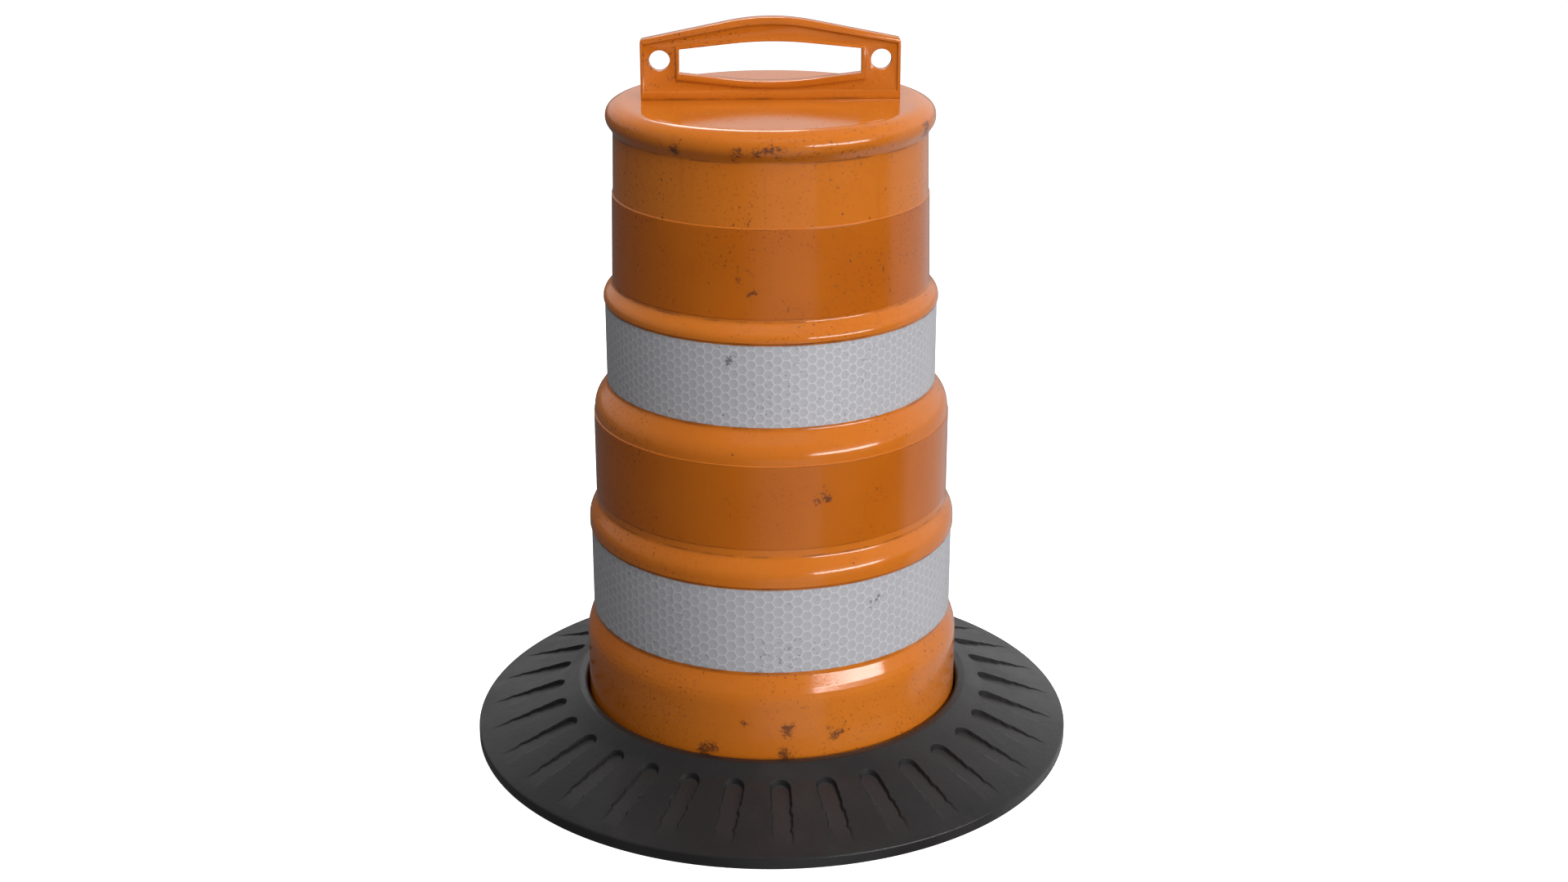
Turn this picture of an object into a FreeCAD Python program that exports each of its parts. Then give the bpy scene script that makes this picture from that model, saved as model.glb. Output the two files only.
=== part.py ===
import FreeCAD, Part
import math
import os
import re

import Sketcher

# Channelizing drum: a hollow plastic drum with a carrying handle, four bands of
# reflective sheeting and a loose rubber ballast ring around its foot.
# Millimetres. The origin is on the ground, on the drum's axis; +Z is up and the
# handle runs along X.

# Driving sizes: alias, value, what it is.
SIZES = [
    ("shell_wall", 3.0, "wall of the blow-moulded shell"),
    ("foot_radius", 283.5, "lowest step of the shell"),
    ("foot_top", 178.5, "top of the lowest step"),
    ("lower_white_step", 12.0, "foot in to the lower white panel"),
    ("lower_white_slope", 29.0, "foot up to the lower white panel"),
    ("lower_bead_swell", 3.9, "lower white panel out to the lower bead"),
    ("lower_bead_step", 12.7, "lower bead in to the lower orange panel"),
    ("lower_bead_height", 15.5, "height of the lower bead"),
    ("lower_bead_slope", 24.0, "lower bead up to the lower orange panel"),
    ("middle_shoulder_step", 20.9, "lower orange panel in to the upper white panel"),
    ("middle_shoulder_slope", 26.5, "middle shoulder up to the upper white panel"),
    ("upper_bead_swell", 3.4, "upper white panel out to the upper bead"),
    ("upper_bead_step", 14.6, "upper bead in to the upper orange panel"),
    ("upper_bead_height", 6.5, "height of the upper bead"),
    ("upper_bead_slope", 16.0, "upper bead up to the upper orange panel"),
    ("neck_taper", 4.9, "how far the upper orange panel leans in up to the neck"),
    ("lip_overhang", 10.8, "neck out to the widest ring of the lip"),
    ("lip_height", 42.0, "neck up to the flat top of the crown"),
    ("crown_inset", 17.1, "widest ring of the lip in to the flat top"),
    ("lip_rise", 15.5, "neck to the lip's widest ring"),
    ("lip_top_drop", 10.0, "crown's flat top down to the lip's upper corner"),
    ("lip_top_inset", 1.8, "how far the lip's upper corner leans in"),
    ("crown_round", 34.0, "rounding of the crown's corner"),
    ("lip_top_round", 16.0, "rounding of the lip's upper corner"),
    ("lip_low_round", 19.0, "rounding of the lip's widest ring"),
    ("neck_round", 4.6, "rounding under the lip"),
    ("shoulder_round", 20.0, "rounding of the middle shoulder"),
    ("foot_round", 8.0, "rounding of the foot's shoulder"),
    ("panel_round", 7.0, "rounding where a panel meets its shoulder"),
    ("bead_round", 8.0, "rounding of the beads"),
    ("bead_low_round", 5.0, "rounding under the beads"),
    ("flange_thickness", 4.0, "thickness of that flange"),
    ("flange_width", 16.5, "how far the flange turns out past the foot"),
    ("land_height", 0.9, "raised land that carries each band"),
    ("land_margin", 1.5, "land shown past each edge of its band"),
    ("sheeting_thickness", 0.6, "reflective sheeting with its adhesive"),
    ("lap_width", 25.0, "overlap of the sheeting's two ends"),
    ("upper_orange_band_height", 126.4, "height of the upper orange band"),
    ("upper_white_band_height", 118.4, "height of the upper white band"),
    ("lower_orange_band_height", 123.8, "height of the lower orange band"),
    ("lower_white_band_height", 127.9, "height of the lower white band"),
    ("lower_white_band_gap", 3.4, "panel foot to the lower white band"),
    ("lower_orange_band_gap", 11.1, "panel foot to the lower orange band"),
    ("upper_white_band_gap", 3.8, "panel foot to the upper white band"),
    ("upper_orange_band_gap", 4.0, "panel foot to the upper orange band"),
    ("lower_white_panel_rest", 1.5, "lower white band up to the end of its panel"),
    ("lower_orange_panel_rest", 20.6, "lower orange band up to the middle shoulder"),
    ("upper_white_panel_rest", 1.6, "upper white band up to the end of its panel"),
    ("upper_orange_panel_rest", 90.6, "upper orange band up to the underside of the lip"),
    ("lower_bead_undercut", 6.2, "lower white panel up to its bead"),
    ("upper_bead_undercut", 5.7, "upper white panel up to its bead"),
    ("handle_thickness", 19.0, "handle over its ribs"),
    ("handle_inset", 35.4, "edge of the flat top in to the sides of the handle"),
    ("opening_inset", 55.0, "side of the handle to the hand opening"),
    ("light_hole_inset", 27.2, "side of the handle to the middle of a bolt hole"),
    ("tongue_inset", 34.0, "side of the handle to the end of the tongue"),
    ("handle_corner_rise", 84.9, "crown to the handle's top corners"),
    ("handle_apex_rise", 121.7, "crown to where the handle's flanks would meet"),
    ("handle_apex_round", 306.0, "rounding of the handle's apex"),
    ("handle_corner_round", 6.0, "rounding of the handle's top corners"),
    ("border_side", 4.2, "width of the border rib at the sides"),
    ("border_foot_rise", 11.5, "crown to the foot of the recessed field"),
    ("border_corner", 6.0, "depth of the border rib at the top corners"),
    ("border_apex_rise", 110.5, "crown to the apex of the recessed field"),
    ("recess_depth", 2.5, "depth of the recessed field on each face"),
    ("opening_end_low", 36.8, "crown to the opening's low corners"),
    ("opening_end_high", 71.5, "crown to the opening's high corners"),
    ("opening_mid_low", 21.3, "crown to where the opening's low flanks meet"),
    ("opening_mid_high", 85.0, "crown to where the opening's high flanks meet"),
    ("opening_round", 530.0, "rounding of the opening's long edges"),
    ("rim_side", 4.6, "raised rim at the opening's ends"),
    ("rim_low", 8.3, "raised rim below the opening"),
    ("rim_high", 2.3, "raised rim above the opening"),
    ("light_hole_radius", 14.7, "bolt hole for a warning light"),
    ("light_hole_rise", 55.5, "crown to the bolt holes"),
    ("tongue_thickness", 10.0, "tongue, along Y"),
    ("heel_overhang", 3.0, "snap heel past each face of the tongue"),
    ("heel_depth", 9.0, "height of the snap heel"),
    ("fit_clearance", 0.3, "air between pieces that fit together"),
    ("ring_radius", 457.2, "outside of the ballast ring"),
    ("ring_rim_height", 17.0, "height of the ring's outer edge"),
    ("ring_lip_height", 81.0, "height of the ring's inner lip"),
    ("ring_lip_width", 14.0, "width of the ring's inner lip"),
    ("ring_running_gap", 3.2, "air between the foot and the ring's bore"),
    ("ring_slope_height", 66.0, "height of the ring there"),
    ("ring_slope_step", 24.3, "lip of the ring out to the start of its long slope"),
    ("ring_lip_round", 6.0, "rounding of the lip"),
    ("ring_rim_round", 4.0, "rounding of the outer edge"),
    ("ring_slope_round", 60.0, "rounding at the foot of the lip"),
    ("groove_half_width", 15.0, "half the width of a drain groove"),
    ("groove_depth", 6.0, "depth of a groove at its inner end"),
    ("groove_tip_inset", 1.0, "start of the long slope in to the inner end of a groove"),
    ("groove_end_inset", 17.2, "outside of the ring in to where a groove runs out"),
    ("groove_count", 32.0, "grooves around the ring"),
]

# Places that follow from those sizes, from the foot upwards and from the foot inwards.
PLACES = {
    "lower_white_radius": "foot_radius - lower_white_step",
    "lower_bead_radius": "lower_white_radius + lower_bead_swell",
    "lower_orange_radius": "lower_bead_radius - lower_bead_step",
    "upper_white_radius": "lower_orange_radius - middle_shoulder_step",
    "upper_bead_radius": "upper_white_radius + upper_bead_swell",
    "upper_orange_radius": "upper_bead_radius - upper_bead_step",
    "neck_radius": "upper_orange_radius - neck_taper",
    "lip_radius": "neck_radius + lip_overhang",
    "crown_radius": "lip_radius - crown_inset",
    "lower_white_foot": "foot_top + lower_white_slope",
    "lower_white_band_foot": "lower_white_foot + lower_white_band_gap",
    "lower_white_band_top": "lower_white_band_foot + lower_white_band_height",
    "lower_white_top": "lower_white_band_top + lower_white_panel_rest",
    "lower_bead_foot": "lower_white_top + lower_bead_undercut",
    "lower_bead_top": "lower_bead_foot + lower_bead_height",
    "lower_orange_foot": "lower_bead_top + lower_bead_slope",
    "lower_orange_band_foot": "lower_orange_foot + lower_orange_band_gap",
    "lower_orange_band_top": "lower_orange_band_foot + lower_orange_band_height",
    "middle_shoulder_foot": "lower_orange_band_top + lower_orange_panel_rest",
    "upper_white_foot": "middle_shoulder_foot + middle_shoulder_slope",
    "upper_white_band_foot": "upper_white_foot + upper_white_band_gap",
    "upper_white_band_top": "upper_white_band_foot + upper_white_band_height",
    "upper_white_top": "upper_white_band_top + upper_white_panel_rest",
    "upper_bead_foot": "upper_white_top + upper_bead_undercut",
    "upper_bead_top": "upper_bead_foot + upper_bead_height",
    "upper_orange_foot": "upper_bead_top + upper_bead_slope",
    "upper_orange_band_foot": "upper_orange_foot + upper_orange_band_gap",
    "upper_orange_band_top": "upper_orange_band_foot + upper_orange_band_height",
    "neck_top": "upper_orange_band_top + upper_orange_panel_rest",
    "crown_height": "neck_top + lip_height",
    "flange_radius": "foot_radius + flange_width",
    "handle_half_width": "crown_radius - handle_inset",
    "opening_half_width": "handle_half_width - opening_inset",
    "light_hole_offset": "handle_half_width - light_hole_inset",
    "tongue_length": "2 * (handle_half_width - tongue_inset)",
    "ring_bore": "foot_radius + ring_running_gap",
    "ring_lip_edge": "ring_bore + ring_lip_width",
    "ring_slope_radius": "ring_lip_edge + ring_slope_step",
    "groove_tip_radius": "ring_slope_radius - groove_tip_inset",
    "groove_end_radius": "ring_radius - groove_end_inset",
}

# How near, in millimetres, an edge or face must lie to the place it is looked for at.
EDGE_TOLERANCE = 0.01

doc = FreeCAD.newDocument("ChannelizingDrum")
sheet = doc.addObject("Spreadsheet::Sheet", "sizes")
for row, (alias, value, meaning) in enumerate(SIZES, start=1):
    sheet.set(f"A{row}", meaning)
    sheet.set(f"B{row}", str(value))
    sheet.setAlias(f"B{row}", alias)
doc.recompute()


def spelled(words):
    """Write out every place in the words as sizes from the sheet."""
    def spell(word):
        name = word.group()
        return f"({spelled(PLACES[name])})" if name in PLACES else name
    return re.sub("[a-z_]+", spell, words)


def size(words):
    """Read a size, a place, or a sum of them. Bare words are aliases or places."""
    return float(sheet.evalExpression(spelled(words)))


def bound(words):
    """The same words as an expression that another object can hold."""
    return re.sub("[a-z_]+", lambda alias: f"sizes.{alias.group()}", spelled(words))


def hold(sketch, kind, index, words):
    """Tie one coordinate of a line's start to words from the sheet."""
    if words == "0":
        axis = -2 if kind == "DistanceX" else -1
        sketch.addConstraint(Sketcher.Constraint("PointOnObject", index, 1, axis))
        return
    rule = Sketcher.Constraint(kind, -1, 1, index, 1, size(words))
    number = sketch.addConstraint(rule)
    sketch.setExpression(f"Constraints[{number}]", bound(words))


def outline(sketch, corners):
    """Draw a closed outline of straight lines through (x, y) words."""
    first = sketch.GeometryCount
    places = [FreeCAD.Vector(size(x), size(y), 0) for x, y in corners]
    count = len(corners)
    for index in range(count):
        line = Part.LineSegment(places[index], places[(index + 1) % count])
        sketch.addGeometry(line, False)
    for index in range(count):
        following = first + (index + 1) % count
        joint = Sketcher.Constraint("Coincident", first + index, 2, following, 1)
        sketch.addConstraint(joint)
    for index, (x, y) in enumerate(corners):
        hold(sketch, "DistanceX", first + index, x)
        hold(sketch, "DistanceY", first + index, y)


def new_body(name):
    """Start a sub-part. Its label is the node's name."""
    body = doc.addObject("PartDesign::Body", name)
    body.Label = name
    return body


def origin_feature(body, role):
    """Find one of the body's own origin planes or axes."""
    for feature in body.Origin.OriginFeatures:
        if feature.Role == role:
            return feature
    raise ValueError(role)


def new_sketch(body, name, plane):
    """Add a sketch on one of the body's own origin planes."""
    sketch = body.newObject("Sketcher::SketchObject", name)
    sketch.AttachmentSupport = [(origin_feature(body, plane), "")]
    sketch.MapMode = "FlatFace"
    return sketch


def revolve(body, name, sketch):
    """Turn a sketch right round the drum's axis."""
    turned = body.newObject("PartDesign::Revolution", name)
    turned.Profile = (sketch, [""])
    turned.ReferenceAxis = (sketch, ["V_Axis"])
    turned.Angle = 360.0
    doc.recompute()
    return turned


def ring_edge(shape, radius, height):
    """Name the circular edge of this radius at this height."""
    for number, edge in enumerate(shape.Edges, start=1):
        curve = edge.Curve
        if isinstance(curve, Part.Circle):
            radius_error = abs(curve.Radius - radius)
            height_error = abs(curve.Center.z - height)
            if radius_error < EDGE_TOLERANCE and height_error < EDGE_TOLERANCE:
                return f"Edge{number}"
    raise ValueError(f"no edge of radius {radius} at height {height}")


def cross_edges(shape, x, z):
    """Name the edges that run along Y through this x and z."""
    names = []
    for number, edge in enumerate(shape.Edges, start=1):
        box = edge.BoundBox
        along_y = box.XLength < EDGE_TOLERANCE and box.ZLength < EDGE_TOLERANCE
        x_error = abs(box.XMin - x)
        z_error = abs(box.ZMin - z)
        if along_y and x_error < EDGE_TOLERANCE and z_error < EDGE_TOLERANCE:
            names.append(f"Edge{number}")
    if not names:
        raise ValueError(f"no edge along Y at {x}, {z}")
    return names


def fillet(body, name, edges, radius):
    """Round the named edges of the body's tip."""
    before = body.Tip
    rounded = body.newObject("PartDesign::Fillet", name)
    rounded.Base = (before, edges)
    rounded.setExpression("Radius", bound(radius))
    body.Tip = rounded
    doc.recompute()
    return rounded


# The shell's outer profile, foot to crown: radius, height, rounding.
SHELL_CORNERS = [
    ("foot_radius", "foot_top", "foot_round"),
    ("lower_white_radius", "lower_white_foot", "panel_round"),
    ("lower_white_radius", "lower_white_top", "bead_low_round"),
    ("lower_bead_radius", "lower_bead_foot", "bead_low_round"),
    ("lower_bead_radius", "lower_bead_top", "bead_round"),
    ("lower_orange_radius", "lower_orange_foot", "bead_low_round"),
    ("lower_orange_radius", "middle_shoulder_foot", "shoulder_round"),
    ("upper_white_radius", "upper_white_foot", "panel_round"),
    ("upper_white_radius", "upper_white_top", "bead_low_round"),
    ("upper_bead_radius", "upper_bead_foot", "bead_low_round"),
    ("upper_bead_radius", "upper_bead_top", "bead_low_round"),
    ("upper_orange_radius", "upper_orange_foot", "bead_low_round"),
    ("neck_radius", "neck_top", "neck_round"),
    ("lip_radius", "neck_top + lip_rise", "lip_low_round"),
    ("lip_radius - lip_top_inset", "crown_height - lip_top_drop", "lip_top_round"),
    ("crown_radius", "crown_height", "crown_round"),
]

# How the upper orange panel tapers from its foot to the neck.
TAPER = "(upper_orange_radius - neck_radius) / (neck_top - upper_orange_foot)"


def tapered(height):
    """Shell radius on the upper orange panel at a height."""
    return f"upper_orange_radius - {TAPER} * ({height} - upper_orange_foot)"


# Each band: node, radius of the shell at its foot and top, foot height, height.
BANDS = [
    ("orange_band_upper", tapered, "upper_orange_band_foot",
     "upper_orange_band_height"),
    ("white_band_upper", "upper_white_radius", "upper_white_band_foot",
     "upper_white_band_height"),
    ("orange_band_lower", "lower_orange_radius", "lower_orange_band_foot",
     "lower_orange_band_height"),
    ("white_band_lower", "lower_white_radius", "lower_white_band_foot",
     "lower_white_band_height"),
]


def strip(sketch, radius, foot, top, inner, outer):
    """Outline a strip that follows the shell, from one offset to another."""
    if callable(radius):
        low, high = radius(foot), radius(top)
    else:
        low, high = radius, radius
    outline(sketch, [
        (f"{low} + {inner}", foot),
        (f"{low} + {outer}", foot),
        (f"{high} + {outer}", top),
        (f"{high} + {inner}", top),
    ])


def make_drum_shell():
    """One hollow moulding, open at the bottom, with a slot for the handle."""
    body = new_body("drum_shell")
    sketch = new_sketch(body, "shell_profile", "XZ_Plane")
    corners = [("0", "0"), ("foot_radius", "0")]
    corners += [(radius, height) for radius, height, rounding in SHELL_CORNERS]
    corners.append(("0", "crown_height"))
    outline(sketch, corners)
    revolve(body, "shell_outside", sketch)
    for number, (radius, height, rounding) in enumerate(SHELL_CORNERS, start=1):
        edge = ring_edge(body.Tip.Shape, size(radius), size(height))
        fillet(body, f"shell_round_{number}", [edge], rounding)

    solid = body.Tip
    hollow = body.newObject("PartDesign::Thickness", "shell_hollow")
    for number, face in enumerate(solid.Shape.Faces, start=1):
        if abs(face.CenterOfMass.z) < EDGE_TOLERANCE:
            hollow.Base = (solid, [f"Face{number}"])
    hollow.setExpression("Value", bound("shell_wall"))
    hollow.Reversed = True
    body.Tip = hollow
    doc.recompute()

    flange = new_sketch(body, "flange_profile", "XZ_Plane")
    outline(flange, [
        ("foot_radius - shell_wall", "0"),
        ("flange_radius", "0"),
        ("flange_radius", "flange_thickness"),
        ("foot_radius - shell_wall", "flange_thickness"),
    ])
    revolve(body, "flange", flange)

    for node, radius, foot, height in BANDS:
        land = new_sketch(body, f"land_of_{node}", "XZ_Plane")
        low = f"({foot} - land_margin)"
        high = f"({foot} + {height} + land_margin)"
        strip(land, radius, low, high, "(0 - shell_wall / 2)", "land_height")
        revolve(body, f"land_{node}", land)

    slot = new_sketch(body, "handle_slot_outline", "XY_Plane")
    slot.setExpression("AttachmentOffset.Base.z", bound("crown_height"))
    half_length = "(tongue_length / 2 + fit_clearance)"
    half_width = "(tongue_thickness / 2 + fit_clearance)"
    outline(slot, [
        (f"0 - {half_length}", f"0 - {half_width}"),
        (half_length, f"0 - {half_width}"),
        (half_length, half_width),
        (f"0 - {half_length}", half_width),
    ])
    cut = body.newObject("PartDesign::Pocket", "handle_slot")
    cut.Profile = slot
    cut.setExpression("Length", bound("shell_wall * 2"))
    doc.recompute()
    return body


def make_sheeting(node, radius, foot, height):
    """One strip of reflective sheeting, its two ends lapped at the back."""
    body = new_body(node)
    top = f"({foot} + {height})"
    outside = "(land_height + sheeting_thickness)"
    ring = new_sketch(body, f"{node}_profile", "XZ_Plane")
    strip(ring, radius, foot, top, "land_height", outside)
    revolve(body, f"{node}_strip", ring)
    lap = new_sketch(body, f"{node}_lap_profile", "YZ_Plane")
    strip(lap, radius, foot, top, outside, f"({outside} + sheeting_thickness)")
    lapped = revolve(body, f"{node}_lap", lap)
    reach = radius(foot) if callable(radius) else radius
    lapped.Midplane = True
    lapped.setExpression("Angle", bound(f"lap_width / ({reach})") + f" * {180 / math.pi}")
    doc.recompute()
    return body


def on_crown(rise):
    """A height that is given above the crown's flat top."""
    return f"crown_height + {rise}"


def mirrored_corners(half_outline):
    """Complete an outline that is mirrored about x = 0, from its +X half."""
    mirrored = [(f"0 - ({x})", z) for x, z in reversed(half_outline) if x != "0"]
    return half_outline + mirrored


def symmetric(feature, length):
    """Give a pad or pocket a length centred on its sketch."""
    feature.Midplane = True
    feature.setExpression("Length", bound(length))
    doc.recompute()


def make_handle():
    """A ribbed plate with a hand opening, snapped into the crown."""
    body = new_body("handle")
    plate = new_sketch(body, "handle_outline", "XZ_Plane")
    outline(plate, mirrored_corners([
        ("handle_half_width", "crown_height"),
        ("handle_half_width", on_crown("handle_corner_rise")),
        ("0", on_crown("handle_apex_rise")),
    ]))
    pad = body.newObject("PartDesign::Pad", "handle_plate")
    pad.Profile = plate
    symmetric(pad, "handle_thickness")
    apex = cross_edges(body.Shape, 0, size(on_crown("handle_apex_rise")))
    fillet(body, "handle_apex", apex, "handle_apex_round")
    corners = []
    for side in (-1, 1):
        x = side * size("handle_half_width")
        corners += cross_edges(body.Shape, x, size(on_crown("handle_corner_rise")))
    fillet(body, "handle_corners", corners, "handle_corner_round")

    # The recessed field lies inside the border rib and round the opening's raised rim.
    field = new_sketch(body, "recess_outline", "XZ_Plane")
    field.setExpression("AttachmentOffset.Base.z", bound("handle_thickness / 2"))
    inside = "handle_half_width - border_side"
    corner_drop = "handle_corner_rise - border_corner"
    outline(field, mirrored_corners([
        (inside, on_crown("border_foot_rise")),
        (inside, on_crown(corner_drop)),
        ("0", on_crown("border_apex_rise")),
    ]))
    rim = "opening_half_width + rim_side"
    outline(field, mirrored_corners([
        ("0", on_crown("opening_mid_low - rim_low")),
        (rim, on_crown("opening_end_low - rim_low")),
        (rim, on_crown("opening_end_high + rim_high")),
        ("0", on_crown("opening_mid_high + rim_high")),
    ]))
    recess = body.newObject("PartDesign::Pocket", "front_recess")
    recess.Profile = field
    recess.setExpression("Length", bound("recess_depth"))
    doc.recompute()
    both = body.newObject("PartDesign::Mirrored", "both_recesses")
    both.Originals = [recess]
    both.MirrorPlane = (origin_feature(body, "XZ_Plane"), [""])
    body.Tip = both
    doc.recompute()

    window = new_sketch(body, "opening_outline", "XZ_Plane")
    outline(window, mirrored_corners([
        ("0", on_crown("opening_mid_low")),
        ("opening_half_width", on_crown("opening_end_low")),
        ("opening_half_width", on_crown("opening_end_high")),
        ("0", on_crown("opening_mid_high")),
    ]))
    opening = body.newObject("PartDesign::Pocket", "hand_opening")
    opening.Profile = window
    symmetric(opening, "handle_thickness * 2")

    recess_apex = cross_edges(body.Shape, 0, size(on_crown("border_apex_rise")))
    fillet(body, "recess_apex", recess_apex, "handle_apex_round")
    long_edges = []
    for rise in ("opening_mid_low", "opening_mid_high",
                 "opening_mid_low - rim_low", "opening_mid_high + rim_high"):
        long_edges += cross_edges(body.Shape, 0, size(on_crown(rise)))
    fillet(body, "opening_rounding", long_edges, "opening_round")

    holes = new_sketch(body, "light_hole_outline", "XZ_Plane")
    for index, side in enumerate(("0 - ", "")):
        offset = side + "light_hole_offset"
        height = on_crown("light_hole_rise")
        centre = FreeCAD.Vector(size(offset), size(height), 0)
        radius = size("light_hole_radius")
        holes.addGeometry(Part.Circle(centre, FreeCAD.Vector(0, 0, 1), radius), False)
        rules = [
            (Sketcher.Constraint("DistanceX", -1, 1, index, 3, size(offset)), offset),
            (Sketcher.Constraint("DistanceY", -1, 1, index, 3, size(height)), height),
            (Sketcher.Constraint("Radius", index, radius), "light_hole_radius"),
        ]
        for rule, words in rules:
            number = holes.addConstraint(rule)
            holes.setExpression(f"Constraints[{number}]", bound(words))
    light_holes = body.newObject("PartDesign::Pocket", "light_holes")
    light_holes.Profile = holes
    symmetric(light_holes, "handle_thickness * 2")

    # The tongue passes through the crown's slot and its heel locks under the wall.
    half = "tongue_thickness / 2"
    seat = "crown_height - shell_wall - fit_clearance"
    tongue = new_sketch(body, "tongue_section", "YZ_Plane")
    outline(tongue, mirrored_corners([
        (f"{half} - heel_overhang / 2", f"{seat} - heel_depth"),
        (f"{half} + heel_overhang", seat),
        (half, seat),
        (half, "crown_height"),
    ]))
    foot = body.newObject("PartDesign::Pad", "tongue")
    foot.Profile = tongue
    symmetric(foot, "tongue_length")
    return body


def ring_surface(radius):
    """Height of the ring's long slope at a radius."""
    fall = "(ring_slope_height - ring_rim_height) / (ring_radius - ring_slope_radius)"
    return f"(ring_slope_height - {fall} * ({radius} - ring_slope_radius))"


def make_ballast_ring():
    """A solid rubber ring that drops over the drum onto its flange."""
    body = new_body("ballast_ring")
    rebate_radius = "flange_radius + ring_running_gap"
    rebate_height = "flange_thickness + fit_clearance"
    section = new_sketch(body, "ring_section", "XZ_Plane")
    outline(section, [
        ("ring_radius", "0"),
        ("ring_radius", "ring_rim_height"),
        ("ring_slope_radius", "ring_slope_height"),
        ("ring_lip_edge", "ring_lip_height"),
        ("ring_bore", "ring_lip_height"),
        ("ring_bore", rebate_height),
        (rebate_radius, rebate_height),
        (rebate_radius, "0"),
    ])
    revolve(body, "ring_solid", section)
    roundings = [
        ("rim_round", "ring_radius", "ring_rim_height", "ring_rim_round"),
        ("slope_round", "ring_slope_radius", "ring_slope_height", "ring_slope_round"),
        ("lip_outer_round", "ring_lip_edge", "ring_lip_height", "ring_lip_round"),
        ("lip_inner_round", "ring_bore", "ring_lip_height", "ring_lip_round"),
    ]
    for name, radius, height, rounding in roundings:
        edge = ring_edge(body.Tip.Shape, size(radius), size(height))
        fillet(body, name, [edge], rounding)

    # A groove's floor is flat and less steep than the slope, so it runs out.
    floor = f"({ring_surface('groove_tip_radius')} - groove_depth)"
    drop = f"({floor} - {ring_surface('groove_end_radius')})"
    reach = "(groove_end_radius - groove_tip_radius)"
    plan = new_sketch(body, "groove_outline", "XY_Plane")
    tilt = math.degrees(math.atan(size(f"{drop} / {reach}")))
    place = FreeCAD.Vector(size("groove_tip_radius"), 0, size(floor))
    turn = FreeCAD.Rotation(FreeCAD.Vector(0, 1, 0), tilt)
    plan.AttachmentOffset = FreeCAD.Placement(place, turn)
    plan.setExpression("AttachmentOffset.Base.x", bound("groove_tip_radius"))
    plan.setExpression("AttachmentOffset.Base.z", bound(floor))
    plan.setExpression("AttachmentOffset.Rotation.Angle", "atan(" + bound(f"{drop} / {reach}") + ")")
    half = size("groove_half_width")
    end = size("ring_radius - groove_tip_radius")
    arc_centre = FreeCAD.Vector(half, 0, 0)
    circle = Part.Circle(arc_centre, FreeCAD.Vector(0, 0, 1), half)
    corners = [
        FreeCAD.Vector(half, -half, 0),
        FreeCAD.Vector(end, -half, 0),
        FreeCAD.Vector(end, half, 0),
        FreeCAD.Vector(half, half, 0),
    ]
    plan.addGeometry(Part.ArcOfCircle(circle, math.pi / 2, math.pi * 3 / 2), False)
    for start, finish in zip(corners, corners[1:]):
        plan.addGeometry(Part.LineSegment(start, finish), False)
    plan.addConstraint([
        Sketcher.Constraint("Tangent", 0, 2, 1, 1),
        Sketcher.Constraint("Coincident", 1, 2, 2, 1),
        Sketcher.Constraint("Coincident", 2, 2, 3, 1),
        Sketcher.Constraint("Tangent", 3, 2, 0, 1),
        Sketcher.Constraint("Horizontal", 1),
        Sketcher.Constraint("Vertical", 2),
        Sketcher.Constraint("PointOnObject", 0, 3, -1),
    ])
    rules = [
        (Sketcher.Constraint("DistanceX", -1, 1, 0, 3, half), "groove_half_width"),
        (Sketcher.Constraint("Radius", 0, half), "groove_half_width"),
        (Sketcher.Constraint("DistanceX", -1, 1, 1, 2, end), "ring_radius - groove_tip_radius"),
    ]
    for rule, words in rules:
        number = plan.addConstraint(rule)
        plan.setExpression(f"Constraints[{number}]", bound(words))
    groove = body.newObject("PartDesign::Pocket", "drain_groove")
    groove.Profile = plan
    groove.Reversed = True
    groove.setExpression("Length", bound("ring_lip_height"))
    doc.recompute()
    around = body.newObject("PartDesign::PolarPattern", "drain_grooves")
    around.Originals = [groove]
    around.Axis = (origin_feature(body, "Z_Axis"), [""])
    around.Angle = 360.0
    around.setExpression("Occurrences", bound("groove_count"))
    body.Tip = around
    doc.recompute()
    return body


def check(bodies):
    """Stop if anything in the document failed or any sub-part has no sound solid."""
    for item in doc.Objects:
        if "Invalid" in item.State or "Error" in item.State:
            raise RuntimeError(f"{item.Name} failed")
    for body in bodies:
        shape = body.Shape
        if shape.isNull() or not shape.isValid() or not shape.Solids:
            raise RuntimeError(f"{body.Label} has no sound solid")


def main():
    """Build every sub-part, check them all and write them out."""
    bodies = [make_drum_shell(), make_handle()]
    bodies += [make_sheeting(*band) for band in BANDS]
    bodies.append(make_ballast_ring())
    doc.recompute()
    check(bodies)
    os.makedirs("parts", exist_ok=True)
    for body in bodies:
        body.Shape.exportStep(f"parts/{body.Label}.step")
        print(body.Label, round(body.Shape.Volume), len(body.Shape.Solids))


main()
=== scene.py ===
"""A channelizing drum: the finished visual model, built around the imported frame.

The drum is a blow-moulded shell with a snapped-in carrying handle and four strips of
reflective sheeting. A loose rubber ring drops over it and weighs its flange down.
"""

from __future__ import annotations

import logging
import math
from dataclasses import dataclass, field
from enum import Enum
from typing import Callable, Iterable, Sequence

import bpy
from mathutils import Matrix, Vector

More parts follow.
